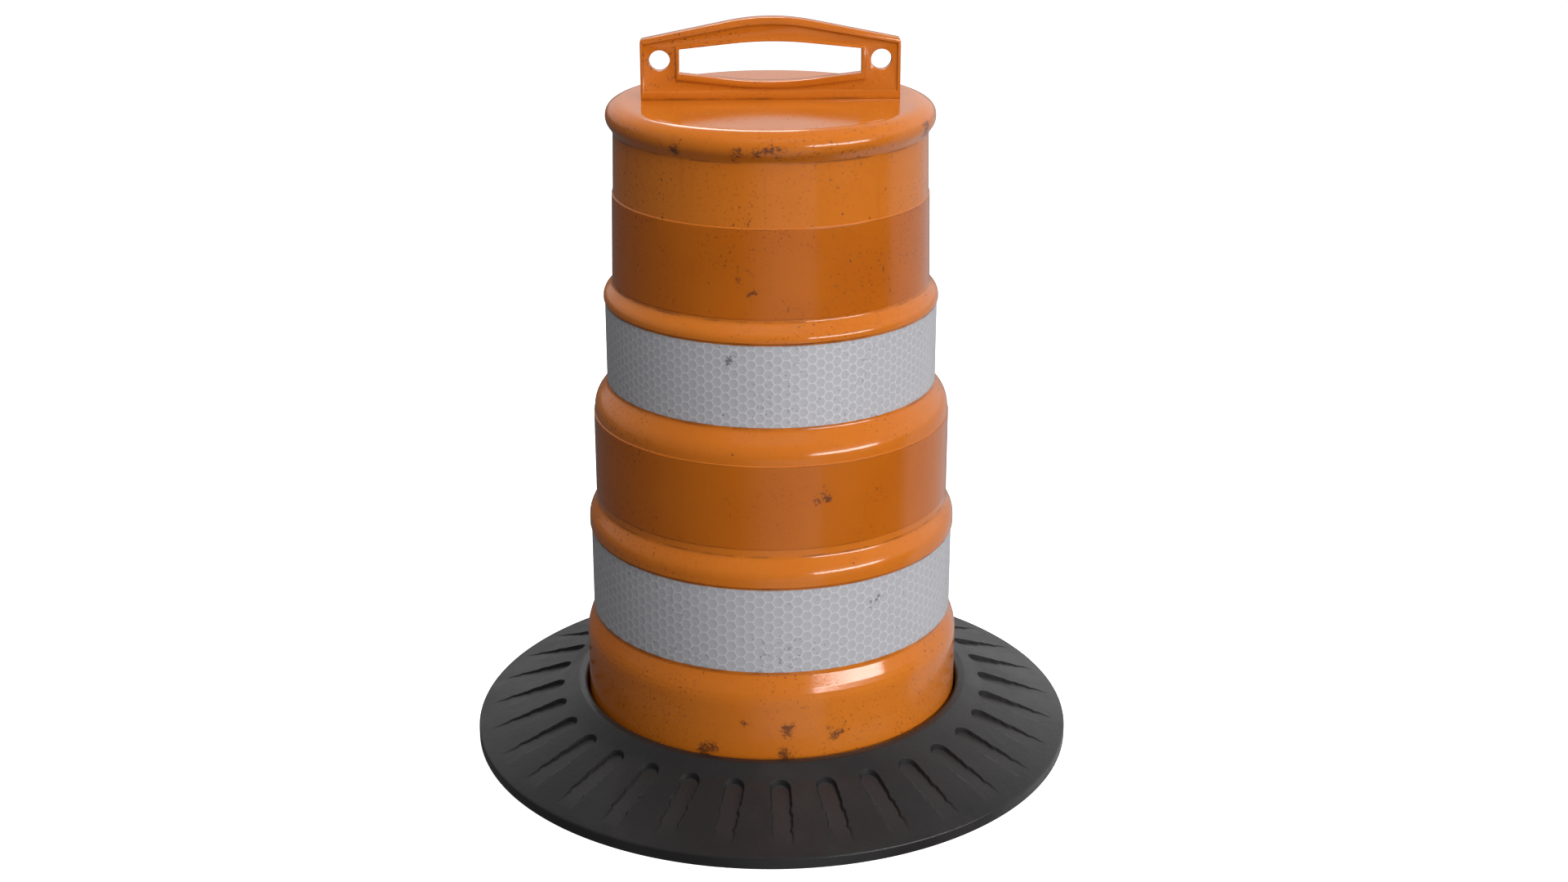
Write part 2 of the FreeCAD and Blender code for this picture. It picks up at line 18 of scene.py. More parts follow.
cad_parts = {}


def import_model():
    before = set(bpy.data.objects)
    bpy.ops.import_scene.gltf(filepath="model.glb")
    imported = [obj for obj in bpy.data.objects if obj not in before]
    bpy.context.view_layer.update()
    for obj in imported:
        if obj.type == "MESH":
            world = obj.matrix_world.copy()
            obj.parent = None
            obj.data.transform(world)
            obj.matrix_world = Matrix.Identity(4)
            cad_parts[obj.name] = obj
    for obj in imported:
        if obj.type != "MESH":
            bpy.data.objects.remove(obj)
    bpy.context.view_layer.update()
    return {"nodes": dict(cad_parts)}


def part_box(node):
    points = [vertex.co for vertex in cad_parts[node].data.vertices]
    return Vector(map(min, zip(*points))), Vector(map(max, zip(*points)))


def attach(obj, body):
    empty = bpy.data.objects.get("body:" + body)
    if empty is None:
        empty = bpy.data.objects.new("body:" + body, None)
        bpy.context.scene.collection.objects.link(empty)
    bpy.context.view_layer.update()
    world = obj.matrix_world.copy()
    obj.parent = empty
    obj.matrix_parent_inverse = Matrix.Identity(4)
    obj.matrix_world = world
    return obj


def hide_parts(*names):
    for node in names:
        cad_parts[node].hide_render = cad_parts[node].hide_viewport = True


LOG = logging.getLogger("drum")

MM = 0.001
TAU = math.tau
WELD = 0.01 * MM
SMOOTH_ANGLE = math.radians(32.0)
STRAIGHT = math.radians(89.5)

Colour = tuple[float, float, float]


class Body(Enum):
    """The frame's two bodies."""

    DRUM = "drum"
    BALLAST = "ballast"


class Slot(Enum):
    """The record's material slots."""

    SHELL = "shell_plastic"
    HANDLE = "handle_plastic"
    ORANGE = "orange_sheeting"
    WHITE = "white_sheeting"
    RUBBER = "ballast_rubber"


# ---------------------------------------------------------------- shader bench


@dataclass(frozen=True)
class Wire:
    """A socket of a material, on which arithmetic adds Math nodes."""

    bench: Bench
    socket: bpy.types.NodeSocket

    def _maths(self, operation: str, first: Feed, second: Feed) -> Wire:
        """Add one Math node."""
        return self.bench.add("ShaderNodeMath", {"operation": operation}, {0: first, 1: second})

    def __add__(self, other: Feed) -> Wire:
        """Sum."""
        return self._maths("ADD", self, other)

    __radd__ = __add__

    def __sub__(self, other: Feed) -> Wire:
        """Difference."""
        return self._maths("SUBTRACT", self, other)

    def __rsub__(self, other: Feed) -> Wire:
        """Difference, from a number."""
        return self._maths("SUBTRACT", other, self)

    def __mul__(self, other: Feed) -> Wire:
        """Product."""
        return self._maths("MULTIPLY", self, other)

    __rmul__ = __mul__

    def __abs__(self) -> Wire:
        """Size without its sign."""
        return self._maths("ABSOLUTE", self, 0.0)

    def __or__(self, other: Feed) -> Wire:
        """The larger of two masks."""
        return self._maths("MAXIMUM", self, other)

    __ror__ = __or__

    def between(self, low: float, high: float) -> Wire:
        """Turn a value into a mask that rises from 0 at low to 1 at high.

        Args:
            low: The value that becomes 0.
            high: The value that becomes 1; it may be the lower of the two.

        Returns:
            The clamped, smoothly rising mask.
        """
        settings = {"interpolation_type": "SMOOTHSTEP", "clamp": True}
        return self.bench.add("ShaderNodeMapRange", settings, {0: self, 1: low, 2: high})


Feed = Wire | float | Sequence[float]


class Bench:
    """One node tree, with the few ways that this script adds nodes."""

    def __init__(self, owner: bpy.types.Material | bpy.types.World) -> None:
        """Start an empty tree.

        Args:
            owner: The material or world that holds the tree.
        """
        self.owner = owner
        self.owner.use_nodes = True
        self.tree = self.owner.node_tree
        self.tree.nodes.clear()

    def add(self, kind: str, settings: dict | None = None, sockets: dict | None = None,
            output: int | str = 0) -> Wire:
        """Add a node.

        Args:
            kind: The node's type.
            settings: Properties, such as a Math node's operation, set before its sockets.
            sockets: Values or wires, by the socket's name or number.
            output: Which output the wire carries.

        Returns:
            The wire that carries the chosen output.
        """
        node = self.tree.nodes.new(kind)
        for name, value in (settings or {}).items():
            setattr(node, name, value)
        for key, value in (sockets or {}).items():
            socket = node.inputs[key]
            if isinstance(value, Wire):
                self.tree.links.new(value.socket, socket)
            elif isinstance(value, tuple) and socket.type == "RGBA" and len(value) == 3:
                socket.default_value = (*value, 1.0)
            else:
                socket.default_value = value
        if not len(node.outputs):
            return Wire(self, node.inputs[0])
        return Wire(self, node.outputs[output])

    def place(self) -> Wire:
        """Object coordinates, in metres."""
        return self.add("ShaderNodeTexCoord", output="Object")

    def stretch(self, vector: Wire, scale: Sequence[float]) -> Wire:
        """Scale a vector along each axis."""
        settings = {"operation": "MULTIPLY"}
        return self.add("ShaderNodeVectorMath", settings, {0: vector, 1: tuple(scale)})

    def axis(self, vector: Wire, name: str) -> Wire:
        """One component of a vector."""
        return self.add("ShaderNodeSeparateXYZ", sockets={0: vector}, output=name)

    def nearness(self, vector: Wire, centre: Sequence[float], reach: float) -> Wire:
        """A soft ball: 1 at its centre, 0 past its reach."""
        distance = self.add("ShaderNodeVectorMath", {"operation": "DISTANCE"},
                            {0: vector, 1: tuple(centre)}, output="Value")
        return distance.between(reach, 0.0)

    def noise(self, vector: Wire, scale: float, detail: float = 3.0,
              roughness: float = 0.55, distortion: float = 0.0) -> Wire:
        """Fractal noise about one half, over a vector in metres."""
        sockets = {"Vector": vector, "Scale": scale, "Detail": detail,
                   "Roughness": roughness, "Distortion": distortion}
        return self.add("ShaderNodeTexNoise", sockets=sockets)

    def mix(self, share: Feed, first: Feed, second: Feed) -> Wire:
        """Blend two colours."""
        settings = {"data_type": "RGBA", "clamp_factor": True}
        return self.add("ShaderNodeMix", settings, {0: share, 6: first, 7: second}, output=2)

    def attribute(self, name: str) -> Wire:
        """A number stored on the mesh."""
        return self.add("ShaderNodeAttribute", {"attribute_name": name}, output="Fac")

    def bump(self, height: Wire, relief: float) -> Wire:
        """A bumped normal; relief is the rise, in millimetres, of a height of 1."""
        return self.add("ShaderNodeBump", sockets={"Height": height, "Distance": relief * MM})

    def finish(self, **sockets: Feed) -> bpy.types.Material:
        """Close the tree with a Principled shader.

        Args:
            **sockets: The shader's sockets, with underscores for spaces.

        Returns:
            The finished material.
        """
        named = {key.replace("_", " "): value for key, value in sockets.items()}
        shader = self.add("ShaderNodeBsdfPrincipled", sockets=named)
        self.add("ShaderNodeOutputMaterial", sockets={"Surface": shader})
        return self.owner


# -------------------------------------------------------------------- finishes


@dataclass(frozen=True)
class Stain:
    """A patch of grime on the drum, by the shell's radius there, bearing and height.

    The bearing is in degrees from the front, -Y, towards +X. Lengths are millimetres.
    """

    radius: float
    bearing: float
    height: float
    reach: float

    def centre(self) -> Colour:
        """Where it lies, in metres."""
        turn = math.radians(self.bearing)
        across, along = self.radius * math.sin(turn), -self.radius * math.cos(turn)
        return across * MM, along * MM, self.height * MM


SHELL_STAINS = (
    Stain(236.0, -36.0, 956.0, 20.0),
    Stain(236.0, -1.0, 954.0, 17.0),
    Stain(236.0, -6.0, 950.0, 22.0),
    Stain(236.0, -13.0, 946.0, 20.0),
    Stain(236.0, 65.0, 962.0, 20.0),
    Stain(283.5, -10.0, 132.0, 14.0),
    Stain(283.5, -21.0, 84.0, 24.0),
    Stain(283.5, 3.0, 76.0, 28.0),
    Stain(283.5, 4.0, 122.0, 20.0),
    Stain(283.5, 17.0, 108.0, 18.0),
)

BAND_STAINS = (
    Stain(232.0, -8.0, 764.0, 12.0),
    Stain(232.0, -13.0, 778.0, 8.0),
    Stain(243.0, -15.0, 664.0, 16.0),
    Stain(264.0, 14.0, 470.0, 18.0),
    Stain(273.0, 30.0, 300.0, 9.0),
)


@dataclass(frozen=True)
class Weathering:
    """Road dirt: scattered specks, patches of grime, and dirt with painted shade in creases."""

    stains: tuple[Stain, ...] = ()
    creases: tuple[float, ...] = ()
    crease_reach: float = 2.6
    speck_scale: float = 230.0
    dot_scale: float = 48.0
    blotch_scale: float = 270.0
    stray: float = 0.05
    amount: float = 1.0

    def _specks(self, bench: Bench, place: Wire) -> Wire:
        """Fine specks in drifts, with a few larger dots among them."""
        drifts = bench.noise(place, 7.0, 3.0, 0.55).between(0.42, 0.62)
        fine = bench.noise(place, self.speck_scale, 3.0, 0.6)
        specks = fine.between(0.60, 0.67) * (drifts * 0.75 + 0.10) * (0.90 * self.amount)
        dots, chosen = (
            bench.add("ShaderNodeTexVoronoi", {"feature": "F1"},
                      {"Vector": place, "Scale": self.dot_scale}, output=output)
            for output in ("Distance", "Color"))
        return specks | dots.between(0.105, 0.045) * chosen.between(0.60, 0.80) * self.amount

    def _smudges(self, bench: Bench, place: Wire) -> list[Wire]:
        """One ragged smudge at each stain."""
        blotch = bench.noise(place, self.blotch_scale, 8.0, 0.78, 0.4)
        drift = bench.add("ShaderNodeTexNoise", sockets={
            "Vector": place, "Scale": 34.0, "Detail": 3.0}, output="Color")
        strayed = bench.add("ShaderNodeVectorMath", {"operation": "MULTIPLY_ADD"},
                            {0: drift, 1: (self.stray,) * 3, 2: place})
        smudges = []
        for stain in self.stains:
            centre = tuple(part + self.stray / 2.0 for part in stain.centre())
            near = bench.nearness(strayed, centre, stain.reach * MM)
            spots = (blotch + near * 0.20).between(0.56, 0.66)
            smudges.append(spots * near.between(0.0, 0.35) * 0.95)
        return smudges

    def _crease_dirt_and_shade(self, bench: Bench, place: Wire) -> list[Wire]:
        """One patchy ring of dirt and painted shade at each crease."""
        height = bench.axis(place, "Z")
        patchy = bench.noise(place, 22.0, 4.0, 0.6).between(0.36, 0.66)
        return [abs(height - crease * MM).between(self.crease_reach * MM, 0.0) * patchy * 0.62
                for crease in self.creases]

    def mask(self, bench: Bench, place: Wire) -> Wire:
        """Where the dirt and the painted crease shade lie.

        Args:
            bench: The material's bench.
            place: Object coordinates.

        Returns:
            A mask of dirt and painted shade, 1 where it is thick.
        """
        dirt_and_shade = self._specks(bench, place)
        for more in self._smudges(bench, place) + self._crease_dirt_and_shade(bench, place):
            dirt_and_shade = dirt_and_shade | more
        return dirt_and_shade


@dataclass(frozen=True)
class MouldedPlastic:
    """Blow- or injection-moulded polyethylene in safety orange, scuffed and dirty."""

    name: str
    weathering: Weathering
    colour: Colour = (0.50, 0.130, 0.008)
    faded: Colour = (0.54, 0.152, 0.014)
    grime_and_shade: Colour = (0.060, 0.020, 0.010)
    worn: Colour = (0.80, 0.36, 0.14)
    roughness: float = 0.08
    relief: float = 0.22
    # Name of a mesh attribute of painted shade, which is added to the dirt mask.
    shaded: str = ""

    def material(self) -> bpy.types.Material:
        """Build the material."""
        bench = Bench(bpy.data.materials.new(self.name))
        place = bench.place()
        dirt_and_shade = self.weathering.mask(bench, place)
        # Painted shade on the faces that the attribute marks.
        if self.shaded:
            dirt_and_shade = dirt_and_shade | bench.attribute(self.shaded) * 0.75
        sun = bench.noise(place, 2.6, 3.0, 0.5).between(0.34, 0.70)
        colour = bench.mix(sun, self.colour, self.faded)
        mottle = bench.noise(place, 46.0, 4.0, 0.6).between(0.30, 0.75)
        colour = bench.mix(mottle * 0.10, colour, tuple(0.72 * part for part in self.colour))
        drips = bench.noise(bench.stretch(place, (1.0, 1.0, 0.08)), 60.0, 3.0, 0.6)
        colour = bench.mix(drips.between(0.60, 0.80) * 0.12, colour, self.grime_and_shade)
        # Dirt, and painted shade in creases and recesses, in the grime colour.
        colour = bench.mix(dirt_and_shade * 0.86, colour, self.grime_and_shade)
        hair = bench.stretch(place, (1.0, 1.0, 7.0))
        scratches = bench.noise(hair, 150.0, 2.0, 0.5, 0.9).between(0.66, 0.72)
        scuffs = scratches * bench.noise(place, 6.0, 2.0).between(0.48, 0.66)
        colour = bench.mix(scuffs * 0.16, colour, self.worn)
        handled = bench.noise(place, 18.0, 4.0, 0.6)
        rough = handled * 0.10 + self.roughness + dirt_and_shade * 0.14 + scuffs * 0.14
        orange_peel = bench.noise(place, 260.0, 2.0, 0.5) * 0.35
        waves = bench.noise(place, 22.0, 1.0, 0.4) * 0.65
        normal = bench.bump(orange_peel + waves + dirt_and_shade * 0.1 - scuffs * 0.1, self.relief)
        return bench.finish(Base_Color=colour, Roughness=rough, Normal=normal)


@dataclass(frozen=True)
class OrangeSheeting:
    """Translucent orange prismatic film: deep in colour and glossy."""

    name: str
    weathering: Weathering
    colour: Colour = (0.425, 0.104, 0.003)
    deep: Colour = (0.390, 0.090, 0.002)
    grime_and_shade: Colour = (0.060, 0.020, 0.008)
    seam: Colour = (0.50, 0.15, 0.02)
    cell: float = 3.1
    relief: float = 0.20

    def material(self) -> bpy.types.Material:
        """Build the material."""
        bench = Bench(bpy.data.materials.new(self.name))
        place = bench.place()
        dirt_and_shade = self.weathering.mask(bench, place)
        clouds = bench.noise(place, 7.0, 3.0, 0.5).between(0.32, 0.72)
        colour = bench.mix(clouds, self.colour, self.deep)
        cells = bench.add("ShaderNodeTexVoronoi", {"feature": "DISTANCE_TO_EDGE"},
                          {"Vector": place, "Scale": 1.0 / (self.cell * MM)})
        seams = cells.between(0.05, 0.0)
        colour = bench.mix(seams * 0.05, colour, self.seam)
        # Dirt, and painted shade along the strip's edges, in the grime colour.
        colour = bench.mix(dirt_and_shade * 0.85, colour, self.grime_and_shade)
        wiped = bench.noise(bench.stretch(place, (1.0, 1.0, 4.0)), 14.0, 4.0, 0.6)
        rough = wiped * 0.09 + 0.09 + dirt_and_shade * 0.14
        waves = bench.noise(place, 30.0, 2.0, 0.5)
        normal = bench.bump(waves - seams * 0.06 + dirt_and_shade * 0.07, self.relief)
        return bench.finish(Base_Color=colour, Roughness=rough, Normal=normal)


@dataclass(frozen=True)
class WhiteSheeting:
    """Silver-white film with its sealed cells: paler walls round each cell."""

    name: str
    weathering: Weathering
    cell: Colour = (0.395, 0.390, 0.412)
    wall: Colour = (0.475, 0.470, 0.492)
    fibre: Colour = (0.28, 0.275, 0.29)
    grime_and_shade: Colour = (0.055, 0.048, 0.046)
    relief: float = 0.10

    def material(self) -> bpy.types.Material:
        """Build the material."""
        bench = Bench(bpy.data.materials.new(self.name))
        place = bench.place()
        dirt_and_shade = self.weathering.mask(bench, place)
        walls = bench.attribute("cell_wall")
        dusty = bench.noise(place, 9.0, 4.0, 0.6).between(0.34, 0.72)
        fibres = bench.noise(bench.stretch(place, (1.0, 1.0, 2.6)), 420.0, 3.0, 0.6)
        cell = bench.mix(dusty * 0.30, self.cell, tuple(0.86 * part for part in self.cell))
        cell = bench.mix(fibres.between(0.36, 0.70) * 0.22, cell, self.fibre)
        colour = bench.mix(walls, cell, self.wall)
        # Dirt, and painted shade along the strip's edges, in the grime colour.
        colour = bench.mix(dirt_and_shade * 0.80, colour, self.grime_and_shade)
        rough = walls * 0.10 + dusty * 0.10 + 0.30 + dirt_and_shade * 0.3
        normal = bench.bump(fibres * 0.5 + bench.noise(place, 34.0, 2.0), self.relief)
        return bench.finish(Base_Color=colour, Roughness=rough, Normal=normal)


@dataclass(frozen=True)
class BallastRubber:
    """Recycled rubber: near-black, finely grained, dusty where feet and tyres scuff it."""

    name: str
    colour: Colour = (0.0125, 0.0115, 0.0115)
    # Dust, and the painted reflection on the groove floors.
    dust_and_sheen: Colour = (0.027, 0.024, 0.023)
    crumb: Colour = (0.036, 0.035, 0.035)
    pit: Colour = (0.008, 0.008, 0.008)
    # Painted shade on the groove walls.
    shade: Colour = (0.003, 0.003, 0.003)
    relief: float = 0.55

    def material(self) -> bpy.types.Material:
        """Build the material."""
        bench = Bench(bpy.data.materials.new(self.name))
        place = bench.place()
        crumb = bench.noise(place, 330.0, 4.0, 0.62)
        lumps = bench.noise(place, 38.0, 4.0, 0.6)
        dusty = bench.noise(place, 5.5, 5.0, 0.62, 0.3).between(0.42, 0.72)
        colour = bench.mix(dusty * 0.45, self.colour, self.dust_and_sheen)
        colour = bench.mix(crumb.between(0.58, 0.76) * 0.35, colour, self.crumb)
        pits = crumb.between(0.40, 0.28)
        colour = bench.mix(pits * 0.5, colour, self.pit)
        walls = bench.attribute("groove_wall")
        floors = bench.attribute("groove_floor")
        # A painted reflection that lightens the groove floors toward the dust colour.
        colour = bench.mix(floors * 0.35, colour, self.dust_and_sheen)
        # Painted shade on the groove walls.
        colour = bench.mix(walls * 0.90, colour, self.shade)
        rough = lumps * 0.16 + 0.23 + dusty * 0.14 + pits * 0.15 + walls * 0.35
        normal = bench.bump(crumb * 0.5 + lumps * 0.9, self.relief)
        return bench.finish(Base_Color=colour, Roughness=rough, Normal=normal)


# ------------------------------------------------------------------- modelling


@dataclass(frozen=True)
class Corner:
    """A corner of a profile: radius, height and rounding, in millimetres."""

    radius: float
    height: float
    rounding: float = 0.0

    def point(self) -> Vector:
        """The sharp corner, as a flat vector."""
        return Vector((self.radius, self.height))


def rounded(corners: Sequence[Corner], fineness: float = 9.0) -> list[Vector]:
    """Follow a profile, with a tangent arc at each rounded corner.

    Args:
        corners: The profile's corners. The first and last stay sharp.
        fineness: Degrees of turn that one chord of an arc spans.

    Returns:
        Flat vectors of radius and height, in millimetres.
    """
    points = [corners[0].point()]
    for before, corner, after in zip(corners, corners[1:], corners[2:]):
        here = corner.point()
        back = (before.point() - here).normalized()
        on = (after.point() - here).normalized()
        half = back.angle(on) / 2.0
        if corner.rounding <= 0.0 or half > STRAIGHT:
            points.append(here)
            continue
        start = here + back * (corner.rounding / math.tan(half))
        centre = here + (back + on).normalized() * (corner.rounding / math.sin(half))
        turn = math.pi - 2.0 * half
        if back.cross(on) > 0.0:
            turn = -turn
        chords = max(2, math.ceil(math.degrees(abs(turn)) / fineness))
        for chord in range(chords + 1):
            spoke = Matrix.Rotation(turn * chord / chords, 2) @ (start - centre)
            points.append(centre + spoke)
    points.append(corners[-1].point())
    return points


def held(points: Sequence[Vector], guard: float = 0.8, shortest: float = 6.4) -> list[Vector]:
    """Put a point close to each end of a long run, so that it shades as a straight wall.

    Args:
        points: A profile's points, in millimetres.
        guard: Distance from a run's end to the added point, in millimetres.
        shortest: Length of the shortest run that gets them, in millimetres.

    Returns:
        The profile with the points added.
    """
    steady = [points[0]]
    for start, end in zip(points, points[1:]):
        run = end - start
        if run.length > shortest:
            along = run.normalized() * guard
            steady += [start + along, end - along]
        steady.append(end)
    return steady


def inset_profile(points: Sequence[Vector], wall: float) -> list[Vector]:
    """Move a profile that runs from foot to crown inwards by a wall.

    Args:
        points: The outer profile, in millimetres, its material on the left of its run.
        wall: The wall's thickness, in millimetres.

    Returns:
        The inner profile, in the same order.
    """
    inner = []
    for index, here in enumerate(points):
        before = points[max(index - 1, 0)]
        after = points[min(index + 1, len(points) - 1)]
        run = (after - before).normalized()
        inner.append(here + Vector((-run.y, run.x)) * wall)
    return inner


def only(piece: bpy.types.Object) -> None:
    """Select one object alone and make it the active one."""
    if bpy.context.object and bpy.context.object.mode != "OBJECT":
        bpy.ops.object.mode_set(mode="OBJECT")
    bpy.ops.object.select_all(action="DESELECT")
    piece.select_set(True)
    bpy.context.view_layer.objects.active = piece


def edit(piece: bpy.types.Object) -> None:
    """Open a piece in edit mode, with everything in it selected."""
    only(piece)
    bpy.ops.object.mode_set(mode="EDIT")
    bpy.ops.mesh.select_all(action="SELECT")


def weld(piece: bpy.types.Object, reach: float = WELD) -> None:
    """Merge a piece's doubles and leave it open in edit mode, all selected."""
    edit(piece)
    bpy.ops.mesh.remove_doubles(threshold=reach)
    bpy.ops.mesh.select_all(action="SELECT")


def weld_open(piece: bpy.types.Object) -> None:
    """Merge the doubles of a piece that is still open, such as a bent strip's ends."""
    weld(piece, WELD * 5.0)
    bpy.ops.object.mode_set(mode="OBJECT")


def clean(piece: bpy.types.Object) -> None:
    """Weld a piece's seams and poles and point its faces outwards."""
    weld(piece)
    bpy.ops.mesh.normals_make_consistent(inside=False)
    bpy.ops.object.mode_set(mode="OBJECT")


def modify(piece: bpy.types.Object, kind: str, **settings: object) -> None:
    """Add a modifier to a piece and apply it."""
    only(piece)
    modifier = piece.modifiers.new(kind.lower(), kind)
    for name, value in settings.items():
        setattr(modifier, name, value)
    bpy.ops.object.modifier_apply(modifier=modifier.name)


def started(name: str, primitive: Callable[..., set[str]], **settings: object) -> bpy.types.Object:
    """Add a primitive, alone in the selection, to make a piece from.

    Args:
        name: The new object's name.
        primitive: The operator that adds it.
        **settings: The operator's settings.

    Returns:
        The new object.
    """
    bpy.ops.object.select_all(action="DESELECT")
    primitive(**settings)
    piece = bpy.context.object
    piece.name = name
    piece.data.name = name
    return piece


def settle() -> None:
    """Move the selected pieces' place, turn and scale into their meshes."""
    bpy.ops.object.transform_apply(location=True, rotation=True, scale=True)


def lathe(name: str, profile: Sequence[Vector], steps: int, angle: float = TAU) -> bpy.types.Object:
    """Draw a profile by extruding a point, and spin it about the drum's axis.

    Args:
        name: The new piece's name.
        profile: Flat vectors of radius and height, in millimetres.
        steps: Steps of the spin.
        angle: Angle of the spin, from +X. Less than a full turn is closed at both ends.

    Returns:
        The new piece, welded, with its faces outwards.
    """
    piece = started(name, bpy.ops.mesh.primitive_plane_add, size=MM)
    edit(piece)
    bpy.ops.mesh.merge(type="CENTER")
    places = [Vector((point.x, 0.0, point.y)) * MM for point in profile]
    bpy.ops.transform.translate(value=places[0])
    for start, end in zip(places, places[1:]):
        bpy.ops.mesh.extrude_vertices_move(TRANSFORM_OT_translate={"value": end - start})
    weld(piece)
    bpy.ops.mesh.spin(steps=steps, angle=angle, center=(0.0, 0.0, 0.0), axis=(0.0, 0.0, 1.0))
    weld(piece)
    if angle < TAU:
        bpy.ops.mesh.fill_holes(sides=0)
    clean(piece)
    return piece


def clamped(number: float, low: float = 0.0, high: float = 1.0) -> float:
    """Hold a number between two others."""
    return min(max(number, low), high)


def turned(piece: bpy.types.Object, angle: float) -> bpy.types.Object:
    """Turn a piece about the drum's axis, in its mesh."""
    only(piece)
    piece.rotation_euler = (0.0, 0.0, angle)
    settle()
    return piece


def joined(pieces: Sequence[bpy.types.Object]) -> bpy.types.Object:
    """Join pieces into the first of them."""
    only(pieces[0])
    for piece in pieces[1:]:
        piece.select_set(True)
    bpy.ops.object.join()
    return pieces[0]


def dress(piece: bpy.types.Object, material: bpy.types.Material, node: str,
          body: Body) -> None:
    """Give a finished piece its material and its place in the frame.

    Args:
        piece: The finished piece.
        material: Its material.
        node: The CAD node that it stands for.
        body: The body that it rides on.
    """
    piece.data.materials.clear()
    piece.data.materials.append(material)
    only(piece)
    bpy.ops.object.shade_smooth_by_angle(angle=SMOOTH_ANGLE)
    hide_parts(node)
    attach(piece, body.value)
    piece.data.calc_loop_triangles()
    LOG.info("%s: %d triangles", piece.name, len(piece.data.loop_triangles))


# ------------------------------------------------------------------ the shell


@dataclass
class DrumShell:
    """The hollow moulding: stepped panels, beads, a rolled crown and an out-turned flange."""

    node: str = "drum_shell"
    wall: float = 3.0
    foot_radius: float = 283.5
    flange_radius: float = 300.0
    flange_thickness: float = 4.0
    flange_round: float = 1.5
    flange_root: float = 2.0
    crown_height: float = 983.0
    # Heights where dirt and painted shade gather.
    creases: tuple[float, ...] = (5.0, 208.0, 341.5, 386.0, 569.0, 692.5, 720.5, 940.0)
    slot_length: float = 300.6
    slot_width: float = 10.6
    steps: int = 224
    inner_rounding: float = 4.0
    outside: list[Corner] = field(default_factory=lambda: [
        Corner(283.5, 174.5, 70.0),
        Corner(272.4, 204.5, 6.0),
        Corner(272.4, 341.2, 1.2),
        Corner(275.4, 343.0, 2.0),
        Corner(275.4, 362.0, 34.0),
        Corner(263.6, 384.3, 16.0),
        Corner(263.6, 521.5, 0.35),
        Corner(262.7, 522.4, 0.35),
        Corner(262.7, 541.5, 40.0),
        Corner(242.7, 566.9, 12.0),
        Corner(242.7, 692.4, 1.2),
        Corner(245.2, 694.0, 2.0),
        Corner(245.2, 704.5, 17.0),
        Corner(231.5, 718.5, 10.0),
        Corner(228.6, 851.0, 0.35),
        Corner(227.7, 851.9, 0.35),
        Corner(225.7, 941.0, 5.0),
        Corner(236.5, 956.5, 19.0),
        Corner(234.7, 973.0, 16.0),
        Corner(219.4, 983.0, 34.0),
    ])

    def _profile(self) -> list[Vector]:
        """The whole wall: down the inside from the axis, round the flange, up the outside.

        Corners sharper than inner_rounding are details that only the outside has.
        """
        axis = Corner(0.0, self.crown_height)
        main = [corner for corner in self.outside if corner.rounding > self.inner_rounding]
        inside = inset_profile(rounded([Corner(self.foot_radius, 0.0), *main, axis]), self.wall)
        inside[0] = Vector((self.foot_radius - self.wall, 0.0))
        inside[-1] = Vector((0.0, self.crown_height - self.wall))
        outside = rounded([
            Corner(self.foot_radius - self.wall, 0.0),
            Corner(self.flange_radius, 0.0, self.flange_round),
            Corner(self.flange_radius, self.flange_thickness, self.flange_round),
            Corner(self.foot_radius, self.flange_thickness, self.flange_root),
            *self.outside,
            axis,
        ])
        return held(inside[::-1] + outside[1:])

    def _cut_slot(self, shell: bpy.types.Object) -> None:
        """Open the slot that the handle's tongue passes through."""
        height = (self.crown_height - self.wall / 2.0) * MM
        cutter = started("slot_cutter", bpy.ops.mesh.primitive_cube_add, size=MM,
                         location=(0.0, 0.0, height))
        cutter.scale = (self.slot_length, self.slot_width, self.wall * 4.0)
        settle()
        modify(shell, "BOOLEAN", object=cutter, operation="DIFFERENCE", solver="EXACT")
        bpy.data.objects.remove(cutter, do_unlink=True)

    def build(self) -> bpy.types.Object:
        """Model the shell and dress it.

        Returns:
            The finished piece.
        """
        shell = lathe("shell_moulding", self._profile(), self.steps)
        self._cut_slot(shell)
        # Dirt and painted shade gather at the creases.
        weathering = Weathering(stains=SHELL_STAINS, creases=self.creases)
        finish = MouldedPlastic("shell_orange", weathering)
        dress(shell, finish.material(), self.node, Body.DRUM)
        return shell


# ------------------------------------------------------------------- sheeting


@dataclass
class SheetingStrip:
    """A strip of film right round the drum, its ends lapped at the back."""

    node: str
    name: str
    thickness: float = 0.6
    lap_width: float = 25.0
    edge_round: float = 0.2
    radius: float = field(init=False)
    foot: float = field(init=False)
    top: float = field(init=False)

    def __post_init__(self) -> None:
        """Read the strip's place from the frame, in millimetres."""
        low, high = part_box(self.node)
        self.radius = high[0] / MM
        self.foot = low[2] / MM
        self.top = high[2] / MM


